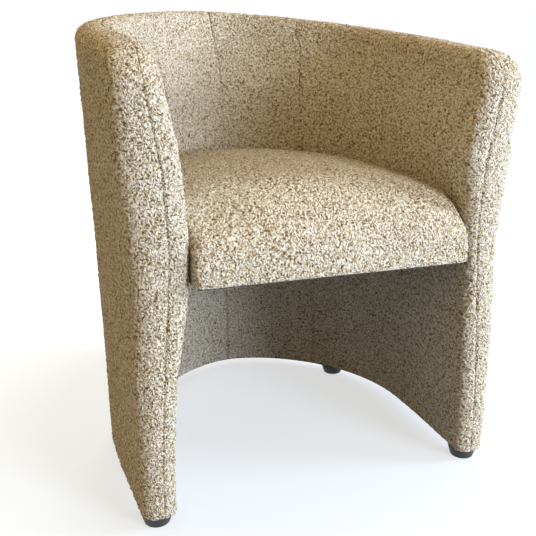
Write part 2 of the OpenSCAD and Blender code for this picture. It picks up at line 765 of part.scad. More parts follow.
// A clip is a strip under the wire with a half sleeve over it
module clip(x, y) {
    bore = wire_d / 2 + soft_gap / 3;
    translate([x - clip_w / 2, y, spring_z])
        rotate([0, 90, 0])
            difference() {
                union() {
                    cylinder(r = bore + clip_t, h = clip_w, $fn = 32);
                    translate([0, -clip_l / 2, 0])
                        cube([bore + clip_t, clip_l, clip_w]);
                }
                translate([0, 0, -clip_t])
                    cylinder(r = bore, h = clip_w + 2 * clip_t, $fn = 32);
            }
}
module spring_clips() {
    centred() color("silver")
        for (i = [0:3]) {
            clip(spring_x(i), spring_start_y);
            clip(spring_x(i), spring_start_y + spring_l(i));
        }
}
module spring_felt() {
    centred() color("gray")
        translate([0, 0, felt_z])
            linear_extrude(felt_t)
                polygon(frame_outline(soft_gap));
}
module seat_foam() {
    centred() color("khaki")
        difference() {
            seat_block(pad_in, ring_lower_z);
            translate([0, 0, ring_lower_z - overrun])
                linear_extrude(cavity_z - ring_lower_z + overrun)
                    polygon(frame_outline(-soft_gap));
            both_sides() for (q = bolt_shares) bolt_hole(q);
        }
}
module seat_cover() {
    centred() color("tan")
        difference() {
            seat_shell(0, cover_t, seat_z);
            both_sides() for (q = bolt_shares) bolt_hole(q);
        }
}
module dust_cover() {
    centred() color("dimgray")
        translate([0, 0, seat_z])
            linear_extrude(cover_t - soft_gap)
                polygon(seat_outline(pad_in));
}

// Seat bolts
bolt_hole_d = bolt_d * 1.03;
soft_hole_d = bolt_d * 1.25;
washer_d = 3 * bolt_d;
washer_t = bolt_d / 5;
head_d = 1.85 * bolt_d;
head_h = 0.65 * bolt_d;
insert_l = 0.7 * rib_w;
insert_e = rib_e + insert_l / 9;
// How far a bolt ends short of the far end of its insert
bolt_short = bolt_d / 4;
// A round bar along the outward normal, from e0 to e1 of the plan
module along_bolt(q, e0, e1, d, sides = 48) {
    at_wall(q, bolt_z)
        translate([e0, 0, 0])
            rotate([0, 90, 0])
                cylinder(d = d, h = e1 - e0, $fn = sides);
}
module bolt_hole(q) {
    along_bolt(q, block_e(q), inner_board_e + board_t + overrun, soft_hole_d);
}
module insert_hole(q) {
    along_bolt(q, 0, insert_e + insert_l + soft_gap / 10, insert_d + soft_gap / 5);
}
module seat_bolts() {
    centred() color("silver")
        both_sides() for (q = bolt_shares) {
            e = block_e(q) - block_d;
            along_bolt(q, e - washer_t - head_h / 2, insert_e + insert_l - bolt_short, bolt_d);
            along_bolt(q, e - washer_t - head_h, e - washer_t, head_d, 6);
        }
}
module bolt_washers() {
    centred() color("silver")
        both_sides() for (q = bolt_shares) {
            e = block_e(q) - block_d;
            difference() {
                along_bolt(q, e - washer_t, e, washer_d);
                along_bolt(q, e - 2 * washer_t, e + washer_t, bolt_hole_d);
            }
        }
}
module threaded_inserts() {
    centred() color("goldenrod")
        both_sides() for (q = bolt_shares)
            difference() {
                along_bolt(q, insert_e, insert_e + insert_l, insert_d);
                along_bolt(q, insert_e - washer_t, insert_e + insert_l + washer_t, bolt_d * 1.005);
            }
}

// Glides under the shell
glide_e = wall_t / 2;
glide_front_share = glide_front_y / corner_r;
glide_points = [
    for (q = [glide_front_share, glide_back_share]) for (s = [1, -1]) layer_pt(q, glide_e, foot_h, s)
];
module each_glide() {
    for (p = glide_points) translate([p.x, p.y, 0]) children();
}
module glide_screw_hole() {
    cylinder(d = screw_d * 1.04, h = foot_h + cover_t + rib_t + overrun, $fn = 48);
}
// Countersunk head, sunk to a third of the glide's height
sink_z = foot_h / 3;
head_sink = screw_d / 2;
module glide() {
    r0 = glide_foot_d / 2;
    r1 = glide_d / 2;
    lip = foot_h / 6;
    centred() color("black")
        difference() {
            rotate_extrude($fn = 96)
                polygon(concat(
                    [[0, 0]],
                    [for (a = [0:15:90]) [r0 - lip + lip * sin(a), lip - lip * cos(a)]],
                    [[r1, foot_h - lip], [r1, foot_h], [0, foot_h]]
                ));
            glide_screw_hole();
            cylinder(d = 2 * screw_d * 1.04, h = sink_z, $fn = 48);
            translate([0, 0, sink_z])
                cylinder(d1 = 2 * screw_d * 1.04, d2 = screw_d * 1.04, h = head_sink, $fn = 48);
        }
}
module glide_at(i) {
    translate([glide_points[i].x, glide_points[i].y, 0]) glide();
}
module glide_front_right() { glide_at(0); }
module glide_front_left() { glide_at(1); }
module glide_back_right() { glide_at(2); }
module glide_back_left() { glide_at(3); }
module glide_screws() {
    centred() color("silver")
        each_glide() translate([0, 0, sink_z]) {
            cylinder(d = screw_d, h = screw_l, $fn = 48);
            cylinder(d1 = 2 * screw_d, d2 = screw_d, h = head_sink, $fn = 48);
        }
}

base_rib();
seat_rib();
rim_rib();
front_post_left();
front_post_right();
lower_studs();
upper_studs();
inner_board();
outer_board();
arm_pad_left();
back_pad();
arm_pad_right();
outer_pad();
arm_cover_left();
back_cover_left();
back_cover_right();
arm_cover_right();
outer_cover();
base_cloth();
seat_ring_lower();
seat_ring_upper();
seat_front_rail();
seat_blocks();
seat_spring_1();
seat_spring_2();
seat_spring_3();
seat_spring_4();
spring_clips();
spring_felt();
seat_foam();
seat_cover();
dust_cover();
seat_bolts();
bolt_washers();
threaded_inserts();
glide_front_left();
glide_front_right();
glide_back_left();
glide_back_right();
glide_screws();
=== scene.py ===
import bpy
import json
import math
import numpy as np
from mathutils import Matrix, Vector


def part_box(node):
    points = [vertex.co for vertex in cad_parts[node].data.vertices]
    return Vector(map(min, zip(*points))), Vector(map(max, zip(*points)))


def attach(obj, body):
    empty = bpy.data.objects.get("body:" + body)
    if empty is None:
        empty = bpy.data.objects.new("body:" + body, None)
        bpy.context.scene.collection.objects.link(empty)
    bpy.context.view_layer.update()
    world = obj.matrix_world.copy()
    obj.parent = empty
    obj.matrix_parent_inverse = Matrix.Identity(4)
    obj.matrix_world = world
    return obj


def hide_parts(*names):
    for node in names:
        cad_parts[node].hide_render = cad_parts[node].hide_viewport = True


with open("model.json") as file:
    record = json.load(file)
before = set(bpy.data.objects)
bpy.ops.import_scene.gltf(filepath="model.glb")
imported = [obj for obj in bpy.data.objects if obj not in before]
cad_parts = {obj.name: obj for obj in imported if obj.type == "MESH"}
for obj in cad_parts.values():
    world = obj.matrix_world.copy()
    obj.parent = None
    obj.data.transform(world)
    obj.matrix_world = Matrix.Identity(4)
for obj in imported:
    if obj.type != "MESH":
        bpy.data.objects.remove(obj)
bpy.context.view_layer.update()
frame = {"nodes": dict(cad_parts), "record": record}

# ---------------------------------------------------------------- sizes, in metres
# The first block is the same as in the CAD source. Y runs from the arm fronts here, and CENTRE_Y
# shifts a point into the frame. A column share q is 0 on the arm front, 1 behind its round corner,
# 2 at the widest place and 3 in the middle of the back. A row share w is 0 at the foot, 1 a
# corner's radius below the rim and 2 on the rim.
ARM_GAP, INNER_W, WIDEST_Y, DEPTH = 0.466, 0.488, 0.221, 0.507
FRONT_H, BACK_H, FOOT_H, CORNER_R = 0.645, 0.750, 0.019, 0.050
BACK_RAKE = math.radians(5.5)
WALL_T, WALL_FLARE = 0.0485, 0.013
ARM_BULGE, BACK_BULGE, BULGE_Z, BULGE_FALL = 0.023, 0.038, 0.480, 0.160
SEAM_IN, INNER_ROUND, OUTER_ROUND, SEAM_GAP = 0.0215, 0.018, 0.026, 0.00005
INNER_BACK_E, OUTER_BACK_E = 0.0067, 0.0413
SEAT_Z, SEAT_PROUD, SEAT_FRONT_Z, SEAT_BACK_Z, SEAT_CROWN = 0.349, 0.012, 0.442, 0.475, 0.020
SEAT_ROLL_D, SEAT_ROLL_Z, SEAT_ROUND, SEAT_GAP = 0.112, 0.378, 0.014, 0.001
SIDE_HANDLE, BACK_HANDLE = 0.605 * (DEPTH - WIDEST_Y), 0.36 * INNER_W / 2
RIM_STRAIGHT, BULGE_POWER, FLARE_POWER, ROUND_POWER, CORNER_SHARE = 0.85, 2.6, 1.6, 2.6, 0.012
LEAN = math.tan(BACK_RAKE) / DEPTH
PAD_FRONT_SHARE, PAD_TOP_SHARE = 0.413, 1.28
ARM_WAIST, WAIST_Z, WAIST_H = 0.007, (SEAT_Z + SEAT_ROLL_Z) / 2, 0.270
CAD_SEAM = 2.52

# The padding of a used chair is a little uneven: beside the seat's front the left arm swells and
# the right one is pressed in by as much as this
LEFT_SWELL, RIGHT_SWELL = 0.0105, -0.0085
# The right arm's outer corner is fuller at its top front: it swells from one height to another,
# and is less rounded
TOP_SWELL, TOP_SWELL_LOW, TOP_SWELL_HIGH, TOP_ROUND = 0.0035, 0.530, 0.630, 0.018
# Above the seat the joining seam runs this much further out
SEAM_OUT, SEAM_OUT_Z, SEAM_OUT_H = 0.008, 0.530, 0.260
# The side seams lean: column share at seat level and at the rim, and the row shares between which
# they turn. The arm's columns slant with them from ARM_SLANT on.
SEAM_LOW, SEAM_HIGH, SEAM_TURN, SEAM_TURN_RUN, ARM_SLANT = 2.475, 2.535, 0.64, 0.66, 1.9
# The seam in the middle of the back strays to the left: by so much at seat level and at the rim,
# and the height at which that grows
STRAY_LOW, STRAY_HIGH, STRAY_Z, STRAY_RUN = 0.004, 0.013, 0.66, 0.09
# Neighbouring panels keep this share apart
PANEL_GAP = 0.0006
# A panel's hidden side ends at these shares, short of its sewn edges, and has these rows
HIDDEN_Q, HIDDEN_W = 0.16, 1.84
HIDDEN_ROWS = np.array([HIDDEN_W, 1.6, 1.4, 1.29, 1.27, 1.0, 0.66, 0.33, 0.02])

# Relief of the cover: looped yarn, slow unevenness, seams and the hem at the foot
NUB_CELL, NUB_H, NUB_LEVEL, NUB_SEED = 0.0052, 0.0030, 0.36, 3
NUB_BEND, NUB_BEND_CELL, NUB_DRAWN, NUB_REACH = 0.35, 2.2, 0.6, 0.72
LUMP_H, LUMP_CELL, LUMP_SEED = 0.0009, 0.075, NUB_SEED + 20
SEAM_DEPTH, SEAM_WIDTH, SEAM_SHOWN_CELL, SEAM_SHOWN_SEED = 0.0020, 0.0017, 0.014, NUB_SEED + 21
# The third of these is how far the stored yarn level drops on a stitch, which darkens the colour
# there: painted shade in the seam groove.
SEAM_SHOWN, SEAM_BROKEN, SEAM_PAINTED_SHADE, HIDDEN_YARN = 0.55, 0.8, 0.9, 0.4
HEM = 0.003
# On the left arm's front the pile buries the seam: where that starts and over what length
BURIED, BURIED_X, BURIED_X_RUN, BURIED_Y, BURIED_Y_RUN = 0.92, 0.12, 0.08, 0.05, 0.10
# Spacing of the points on the inner and the outer panels, along this row and this column
FINE, COARSE, SPACED_ROW, SPACED_COLUMN = 0.0022, 0.0035, 0.6, 1.7

# Seat: each half of its outline has SEAT_STEPS even steps, and some points of its own at the front
# corner, given by their place in the half outline
SEAT_STEPS, SEAT_CORNER_R, CORNER_POINTS, CORNER_ROOM = 78, 0.006, (28, 32, 35, 38, 42), 0.003
SEAT_MIDDLE, SEAT_RISE_POWER, ROUND_DROP, FRONT_DRAW = 0.47, 0.85, 0.85, 0.15
CAVITY_ROOM, CAVITY_STEPS = 0.0015, 60
SIDE_SHARES = (0.12, 0.4, 0.7)
TOP_SHARES = (0, 0.006, 0.016, 0.03, 0.05, 0.075, 0.105, 0.14, 0.18, 0.225, 0.28, 0.34, 0.41,
              0.49, 0.58, 0.68, 0.79, 0.90)
# The rings of points below the seat's top: two of the cavity's ceiling, the cavity's lower edge,
# the seat's lower edge and those of its side
OUTLINE_RING = 3
LOW_RINGS = OUTLINE_RING + 1 + len(SIDE_SHARES)
# Swelling under the foam's pressure: over HELD_RINGS rings the cover is let go, down to HELD_LEAST
PUFF_PRESSURE, PUFF_FRAMES, PUFF_LIMIT, HELD_RINGS, HELD_LEAST = 4, 20, 0.006, 6, 0.05
CAVITY_CREASE, OUTLINE_CREASE = 1.0, 0.7
SEAT_VOXEL = 0.0029
# The yarn starts this far above the lower edge, and is calmer on the flanks
YARN_START, YARN_RUN = 0.001, 0.004
FLANK, FLANK_RUN, FLANK_CALM = 0.75, 0.2, 0.6
SEAT_LUMP_CELL, SEAT_LUMP_SEED = 0.08, 41

# Sheets: the lining under the seat, the felt on the springs and the lining under the wall
SHEET_LEVELS = (0, 0.02, 0.15, 0.35, 0.6, 0.85)
SHEET_WAVE, SHEET_WAVE_CELL, SHEET_SEED = 0.0004, 0.03, 51
LINING_STEPS, LINING_SHARE, LINING_DROP, LINING_SAG, LINING_T = 60, 0.985, 0.0012, 0.0006, 0.0012
FELT_SAG, FELT_T = 0.0006, 0.0026
BAND_ROWS, BAND_START, BAND_END, BAND_FRONT = 7, 0.06, 0.94, 0.12
BAND_LIFT, BAND_WAVE, BAND_T, BAND_SEED = 0.0006, 0.0003, 0.0011, 61

# Floor, light and camera. The floor is white far from the chair, and keeps its shadow near by.
FLOOR_HALF, FLOOR_POINTS, FLOOR_COLOUR = 6.0, 13, (0.32, 0.40, 0.53, 1)
FLOOR_GLOW, FLOOR_NEAR, FLOOR_FAR = 0.64, 0.4, 1.1
AMBIENT = (0.55, 0.340, 0.090, 1)
WHITE = (1, 1, 1, 1)
# Name, place, the point it aims at, edge of the square lamp, watts and colour
LAMPS = (
    ("key", (1.68, -3.30, 0.95), (0, 0, 0.40), 1.2, 112, (0.86, 0.94, 1.0)),
    ("side", (2.95, -1.31, 1.20), (0, 0, 0.45), 0.9, 98, (0.86, 0.94, 1.0)),
    ("fill", (-2.3, -1.6, 1.6), (0, 0, 0.40), 1.6, 5, (1.0, 0.86, 0.62)),
    ("top", (0.3, -0.2, 2.9), (0, 0, 0.4), 1.8, 8, (1.0, 0.95, 0.86)),
    ("back", (0.6, 2.9, 2.1), (0, 0, 0.40), 1.6, 60, (1.0, 0.95, 0.87)),
)
SENSOR, LENS = 36.0, 44.48
CAMERA_PLACE, CAMERA_DOWN, CAMERA_TURN = (-0.3978, -1.1115, 0.5975), 15.127, -20.397


# ---------------------------------------------------------------- shell formulas
def plan(q):
    """Points and outward normals of the inner face's floor plan."""
    q = np.asarray(q, float)
    y = np.where(q <= 1, CORNER_R * q, CORNER_R + (WIDEST_Y - CORNER_R) * (q - 1))
    turn = np.pi / 2 * y / WIDEST_Y
    half_gap, half_w = ARM_GAP / 2, INNER_W / 2
    side = np.stack([half_gap + (half_w - half_gap) * np.sin(turn), y], -1)
    slope = (half_w - half_gap) * np.cos(turn) * np.pi / 2 / WIDEST_Y
    side_n = np.stack([np.ones_like(slope), -slope], -1)
    t = np.clip(q - 2, 0, 1)[..., None]
    h = np.array([
        [half_w, WIDEST_Y], [half_w, WIDEST_Y + SIDE_HANDLE], [BACK_HANDLE, DEPTH], [0, DEPTH]])
    u = 1 - t
    back = u**3 * h[0] + 3 * u * u * t * h[1] + 3 * u * t * t * h[2] + t**3 * h[3]
    d = u * u * (h[1] - h[0]) + 2 * u * t * (h[2] - h[1]) + t * t * (h[3] - h[2])
    back_n = np.stack([d[..., 1], -d[..., 0]], -1)
    on_side = (q <= 2)[..., None]
    p, n = np.where(on_side, side, back), np.where(on_side, side_n, back_n)
    return p, n / np.linalg.norm(n, axis=-1, keepdims=True)


def lean(z):
    return 1 + LEAN * z


def smooth(t):
    t = np.clip(t, 0, 1)
    return t * t * (3 - 2 * t)


def rim_z(y):
    r = y / DEPTH
    return FRONT_H + (BACK_H - FRONT_H) * (RIM_STRAIGHT * r + (1 - RIM_STRAIGHT) * r * r)


def bulge(y, z):
    swell = ARM_BULGE + (BACK_BULGE - ARM_BULGE) * (y / DEPTH) ** 2
    rise = np.sin(np.pi / 2 * np.clip(z / BULGE_Z, 0, 1)) ** BULGE_POWER
    return swell * rise * smooth((rim_z(y) - z) / BULGE_FALL)


def edge_share(d, r):
    """How much of its thickness a piece has at a distance d from an edge rounded by r."""
    k = 1 - np.clip(d / r, 0, 1)
    return (1 - k**ROUND_POWER) ** (1 / ROUND_POWER)


def at_front(y, z, height, reach):
    """1 at the arm fronts at one height, 0 half of reach above or below it and far behind."""
    near = np.clip(1 - np.abs(z - height) / (reach / 2), 0, 1)
    return np.sin(np.pi / 2 * near) * smooth(1 - y / WIDEST_Y)


def beside_seat(y, z):
    return at_front(y, z, WAIST_Z, WAIST_H)


def swell(side, y, z):
    return (RIGHT_SWELL if side > 0 else LEFT_SWELL) * beside_seat(y, z)


def top_corner(side, y, z):
    """1 at the top front of the right arm, 0 on the left arm, low down and far behind."""
    high = smooth((z - TOP_SWELL_LOW) / (TOP_SWELL_HIGH - TOP_SWELL_LOW))
    return high * smooth(1 - y / WIDEST_Y) * (side > 0)


def wall(q, w, out, side=1, back=False):
    """Points of the padded wall: column share q, row share w, out 1 or -1, side 1 right or -1 left.

    back gives the hidden side of a piece instead, a few millimetres under the edges.
    """
    q, w = np.broadcast_arrays(np.asarray(q, float), np.asarray(w, float))
    if back:
        q, w = np.maximum(q, HIDDEN_Q), np.minimum(w, HIDDEN_W)
    p, n = plan(q)
    y = p[..., 1]
    f = np.minimum(q, 1)
    rise = np.sqrt(1 - (1 - np.maximum(f, CORNER_SHARE)) ** 2)
    rim = rim_z(y)
    turn_z = rim - CORNER_R
    z = np.where(w <= 1, FOOT_H + (turn_z - FOOT_H) * w, turn_z + CORNER_R * (w - 1) * rise)
    seam_e = SEAM_IN - bulge(y, z)
    if back:
        free = (q <= PAD_FRONT_SHARE) | (w >= PAD_TOP_SHARE)
        e = np.where(free, seam_e + out * SEAM_GAP, OUTER_BACK_E if out > 0 else INNER_BACK_E)
    else:
        d = CORNER_R * (1 - np.hypot(1 - f, np.maximum(w - 1, 0) * rise))
        seam_out = SEAM_OUT * at_front(y, z, SEAM_OUT_Z, SEAM_OUT_H)
        seam_e = seam_e + seam_out
        if out > 0:
            corner = top_corner(side, y, z)
            outer_e = WALL_T + WALL_FLARE * (z / rim) ** FLARE_POWER
            outer_e = outer_e - ARM_WAIST * beside_seat(y, z) + TOP_SWELL * corner
            half, r = outer_e - seam_e, OUTER_ROUND + (TOP_ROUND - OUTER_ROUND) * corner
        else:
            half, r = SEAM_IN + seam_out + swell(side, y, z), INNER_ROUND
        e = seam_e + out * (SEAM_GAP + (half - SEAM_GAP) * edge_share(d, r))
    x = side * (p[..., 0] + n[..., 0] * e)
    return np.stack([x, y * lean(z) + n[..., 1] * e - CENTRE_Y, z], -1)


# The chair's depth puts its middle at y = 0
CENTRE_Y = 0.0
CENTRE_Y = (wall(3.0, np.linspace(0, 2, 401), 1)[:, 1].max() - SEAT_PROUD) / 2


# ---------------------------------------------------------------- noise
def hashed(cells, seed):
    """Repeatable numbers from 0 to 1 for whole-number cells, by mixing with large odd numbers."""
    c = cells.astype(np.int64)
    h = c[..., 0] * 73856093 ^ c[..., 1] * 19349663 ^ c[..., 2] * 83492791 ^ seed * 2654435761
    h = (h ^ (h >> 13)) * 1274126177 & 0xFFFFFFFF
    h = (h ^ (h >> 16)) * 2246822519 & 0xFFFFFFFF
    return ((h ^ (h >> 15)) & 0xFFFFFF) / float(0xFFFFFF)


def lumps(p, cell, seed):
    """Smooth noise from -1 to 1."""
    x = p / cell
    base = np.floor(x)
    t = x - base
    t = t * t * (3 - 2 * t)
    total = 0
    for corner in np.ndindex(2, 2, 2):
        c = np.array(corner)
        weight = np.prod(np.where(c == 1, t, 1 - t), axis=-1)
        total = total + weight * hashed(base + c, seed)
    return 2 * total - 1


def nubs(p, cell, seed):
    """Looped yarn: rounded nubs, each drawn out its own way; 0 in a gap, 1 on top."""
    bend = np.stack([lumps(p, NUB_BEND_CELL * cell, seed + i) for i in (11, 12, 13)], -1)
    x = p / cell + NUB_BEND * bend
    base = np.floor(x)
    near = np.full(x.shape[:-1], 9.0)
    for step in np.ndindex(3, 3, 3):
        c = base + np.array(step) - 1
        spot = c + np.stack([hashed(c, seed + i) for i in (1, 2, 3)], -1)
        way = np.stack([hashed(c, seed + i) for i in (4, 5, 6)], -1) - 0.5
        way /= np.linalg.norm(way, axis=-1, keepdims=True) + 1e-9
        r = x - spot
        d2 = (r**2).sum(-1) - NUB_DRAWN * (r * way).sum(-1) ** 2
        near = np.minimum(near, d2)
    return np.clip(1 - np.sqrt(near) / NUB_REACH, 0, 1)


# ---------------------------------------------------------------- meshes
def even(fine, points, spacing):
    """Shares spaced evenly along a line of points."""
    run = np.concatenate([[0], np.cumsum(np.linalg.norm(np.diff(points, axis=0), axis=1))])
    count = max(int(round(run[-1] / spacing)), 4)
    return np.interp(np.linspace(0, run[-1], count + 1), run, fine)


def columns_of(q0, q1, out, spacing):
    fine = np.concatenate([np.linspace(0, 1, 1500) ** 3, np.linspace(1, 3, 3001)[1:]])
    fine = fine[(fine >= q0) & (fine <= q1)]
    return even(fine, wall(fine, SPACED_ROW, out), spacing)


def rows_of(out, spacing):
    fine = np.concatenate([np.linspace(0, 1, 1500), 2 - (1 - np.linspace(0, 1, 1500)[1:]) ** 3])
    return even(fine, wall(SPACED_COLUMN, fine, out), spacing)


def run_along(points, axis):
    step = np.linalg.norm(np.diff(points, axis=axis), axis=-1)
    zero = np.zeros_like(np.take(step, [0], axis=axis))
    return np.concatenate([zero, np.cumsum(step, axis=axis)], axis=axis)


def grid_normals(points):
    a = np.gradient(points, axis=0)
    b = np.gradient(points, axis=1)
    n = np.cross(a, b)
    return n / (np.linalg.norm(n, axis=-1, keepdims=True) + 1e-12)


def ring_quads(rings, n):
    """Faces between neighbouring rings of n points each."""
    i, j = np.meshgrid(np.arange(rings - 1), np.arange(n), indexing="ij")
    j1 = (j + 1) % n
    quads = np.stack([i * n + j, i * n + j1, (i + 1) * n + j1, (i + 1) * n + j], -1)
    return quads.reshape(-1, 4).tolist()


def dressed(points, normals, edge, foot):
    """Adds seams, hand-made unevenness and yarn to a skin. edge and foot are the distances from
    its sewn borders and from its foot.

    Neighbouring panels share the noise, so the pile runs on over their seam and half hides it.
    """
    flat = points.reshape(-1, 3)
    yarn = nubs(flat, NUB_CELL, NUB_SEED).reshape(edge.shape)
    slow = lumps(flat, LUMP_CELL, LUMP_SEED).reshape(edge.shape)
    broken = lumps(flat, SEAM_SHOWN_CELL, SEAM_SHOWN_SEED).reshape(edge.shape)
    left_front = smooth((-points[..., 0] - BURIED_X) / BURIED_X_RUN)
    left_front = left_front * smooth((-points[..., 1] - BURIED_Y) / BURIED_Y_RUN)
    shown = smooth(SEAM_SHOWN + SEAM_BROKEN * broken) * (1 - BURIED * left_front)
    stitch = np.exp(-((edge / SEAM_WIDTH) ** 2)) * shown
    hem = HEM * (1 - np.sqrt(1 - (1 - np.clip(foot / HEM, 0, 1)) ** 2))
    move = NUB_H * (yarn - NUB_LEVEL) * smooth(foot / HEM) + LUMP_H * slow
    move = move - SEAM_DEPTH * stitch - hem
    # The yarn level returned for the colour drops on the stitch, which paints shade into the seam
    # groove.
    return points + normals * move[..., None], yarn * (1 - SEAM_PAINTED_SHADE * stitch)


def signed_volume(mesh):
    mesh.calc_loop_triangles()
    tri = np.empty(len(mesh.loop_triangles) * 3, np.int64)
    mesh.loop_triangles.foreach_get("vertices", tri)
    a, b, c = coordinates(mesh)[tri.reshape(-1, 3)].transpose(1, 0, 2)
    return float((a * np.cross(b, c)).sum() / 6)


def coordinates(mesh):
    co = np.empty(len(mesh.vertices) * 3)
    mesh.vertices.foreach_get("co", co)
    return co.reshape(-1, 3)


def mesh_piece(name, points, faces):
    mesh = bpy.data.meshes.new(name)
    mesh.from_pydata(np.asarray(points).tolist(), [], faces)
    mesh.update()
    piece = bpy.data.objects.new(name, mesh)
    bpy.context.scene.collection.objects.link(piece)
    if signed_volume(mesh) < 0:
        mesh.flip_normals()
    mesh.polygons.foreach_set("use_smooth", np.ones(len(mesh.polygons), bool))
    return piece


def keep_yarn(mesh, level):
    """Stores the height of the yarn on the points, for the material, where a low level paints shade
    into the gaps and seams.
    """
    stored = mesh.attributes.new("yarn", "FLOAT", "POINT")
    stored.data.foreach_set("value", np.asarray(level, np.float32).reshape(-1))


def closed_loft(name, skin, hidden, yarn):
    """A closed form: a fine visible skin over a coarse hidden side, with the same columns.

    The hidden faces are flat shaded, so that they don't bend the light along the sewn borders.
    """
    n, m, k = skin.shape[0], skin.shape[1], hidden.shape[1]
    ring = m + k
    points = np.concatenate([skin, hidden], axis=1).reshape(-1, 3)
    ends = [list(range(ring))[::-1], list(range((n - 1) * ring, n * ring))]
    piece = mesh_piece(name, points, ring_quads(n, ring) + ends)
    keep_yarn(piece.data, np.concatenate([yarn, np.full((n, k), HIDDEN_YARN)], axis=1))
    seen = np.append(np.broadcast_to(np.arange(ring) < m - 1, (n - 1, ring)), [False, False])
    piece.data.polygons.foreach_set("use_smooth", seen)
    return piece


def sewn_piece(name, skin, hidden, facing):
    """Dresses a skin, whose normals point out when multiplied by facing, and closes it behind."""
    along, up = run_along(skin, 0), run_along(skin, 1)
    edge = np.minimum(up[:, -1:] - up, np.minimum(along, along[-1:] - along))
    skin, yarn = dressed(skin, grid_normals(skin) * facing, edge, up)
    return closed_loft(name, skin, hidden, yarn)


def applied(piece):
    """Applies the piece's modifiers."""
    bpy.context.view_layer.update()
    shown = piece.evaluated_get(bpy.context.evaluated_depsgraph_get())
    mesh = bpy.data.meshes.new_from_object(shown)
    piece.modifiers.clear()
    piece.data = mesh


# ---------------------------------------------------------------- materials
def node_of(tree, kind, **values):
    node = tree.nodes.new(kind)
    for key, value in values.items():
        if hasattr(node, key):
            setattr(node, key, value)
        else:
            node.inputs[key.replace("_", " ")].default_value = value
    return node


def texture_of(tree, kind, place, **values):
    texture = node_of(tree, kind, **values)
    tree.links.new(place, texture.inputs["Vector"])
    return texture


def noise_of(tree, place, **values):
    return texture_of(tree, "ShaderNodeTexNoise", place, **values).outputs["Fac"]


def math_of(tree, how, *values):
    node = tree.nodes.new("ShaderNodeMath")
    node.operation = how
    for socket, value in zip(node.inputs, values):
        if isinstance(value, (int, float)):
            socket.default_value = value
        else:
            tree.links.new(value, socket)
    return node.outputs[0]


def sum_of(tree, first, *shares):
    """first plus each output times its share."""
    total = first
    for output, share in shares:
        total = math_of(tree, "ADD", total, math_of(tree, "MULTIPLY", output, share))
    return total


def ramp_of(tree, source, *stops):
    ramp = tree.nodes.new("ShaderNodeValToRGB")
    elements = ramp.color_ramp.elements
    for element, (place, colour) in zip(elements, (stops[0], stops[-1])):
        element.position, element.color = place, (*colour, 1)
    for place, colour in stops[1:-1]:
        elements.new(place).color = (*colour, 1)
    tree.links.new(source, ramp.inputs[0])
    return ramp.outputs[0]


def new_material(name):
    material = bpy.data.materials.new(name)
    material.use_nodes = True
    tree = material.node_tree
    tree.nodes.clear()
    shader = tree.nodes.new("ShaderNodeBsdfPrincipled")
    output = tree.nodes.new("ShaderNodeOutputMaterial")
    tree.links.new(shader.outputs[0], output.inputs[0])
    return material, tree, shader, tree.nodes.new("ShaderNodeTexCoord").outputs["Object"]


def add_bump(tree, shader, height, strength, depth):
    bump = node_of(tree, "ShaderNodeBump", Strength=strength, Distance=depth)
    tree.links.new(height, bump.inputs["Height"])
    tree.links.new(bump.outputs["Normal"], shader.inputs["Normal"])


def boucle_material():
    """Looped yarn: curled strands and nubs, pale on top, with painted shade darkening the gaps
    between them.
    """
    material, tree, shader, place = new_material("boucle")
    links = tree.links
    twist = texture_of(tree, "ShaderNodeTexNoise", place, Scale=130.0, Detail=2.0)
    bent = tree.nodes.new("ShaderNodeMix")
    bent.data_type, bent.blend_type = "RGBA", "LINEAR_LIGHT"
    bent.inputs["Factor"].default_value = 0.0040
    links.new(place, bent.inputs["A"])
    links.new(twist.outputs["Color"], bent.inputs["B"])
    drawn_out = tree.nodes.new("ShaderNodeMapping")
    drawn_out.inputs["Rotation"].default_value = (0.6, 0.5, 0.7)
    drawn_out.inputs["Scale"].default_value = (1.0, 0.6, 1.0)
    links.new(bent.outputs["Result"], drawn_out.inputs["Vector"])
    strand = drawn_out.outputs[0]
    loops = texture_of(tree, "ShaderNodeTexVoronoi", strand, Scale=285.0, Randomness=1.0)
    loop_top = math_of(tree, "SUBTRACT", 1.0, loops.outputs["Distance"])
    curl = noise_of(tree, strand, Scale=390.0, Detail=1.0)
    fibre = noise_of(tree, place, Scale=1300.0, Detail=3.0, Roughness=0.6)
    patches = noise_of(tree, place, Scale=8.0, Detail=2.0)
    yarn = node_of(tree, "ShaderNodeAttribute", attribute_name="yarn").outputs["Fac"]
    height = math_of(tree, "MULTIPLY", loop_top, 0.45)
    height = sum_of(tree, height, (curl, 1.30), (fibre, 0.12))
    tone_and_painted_shade = sum_of(tree, height, (yarn, 0.18), (patches, 0.12))
    # The ramp paints shade: low tone, in the gaps between loops and along the seams, turns dark
    # brown; its top end is the yarn's own pale colour.
    colour = ramp_of(
        tree, math_of(tree, "SUBTRACT", tone_and_painted_shade, 0.42),
        (0.31, (0.170, 0.110, 0.050)), (0.46, (0.400, 0.320, 0.205)),
        (0.61, (0.620, 0.565, 0.465)), (0.75, (0.800, 0.770, 0.705)),
        (0.92, (0.890, 0.880, 0.850)))
    links.new(colour, shader.inputs["Base Color"])
    add_bump(tree, shader, height, 1.0, 0.0050)
    shader.inputs["Roughness"].default_value = 0.95
    shader.inputs["Specular IOR Level"].default_value = 0.12
    shader.inputs["Sheen Weight"].default_value = 0.15
    shader.inputs["Sheen Roughness"].default_value = 0.5
    shader.inputs["Sheen Tint"].default_value = (0.95, 0.92, 0.85, 1)
    return material


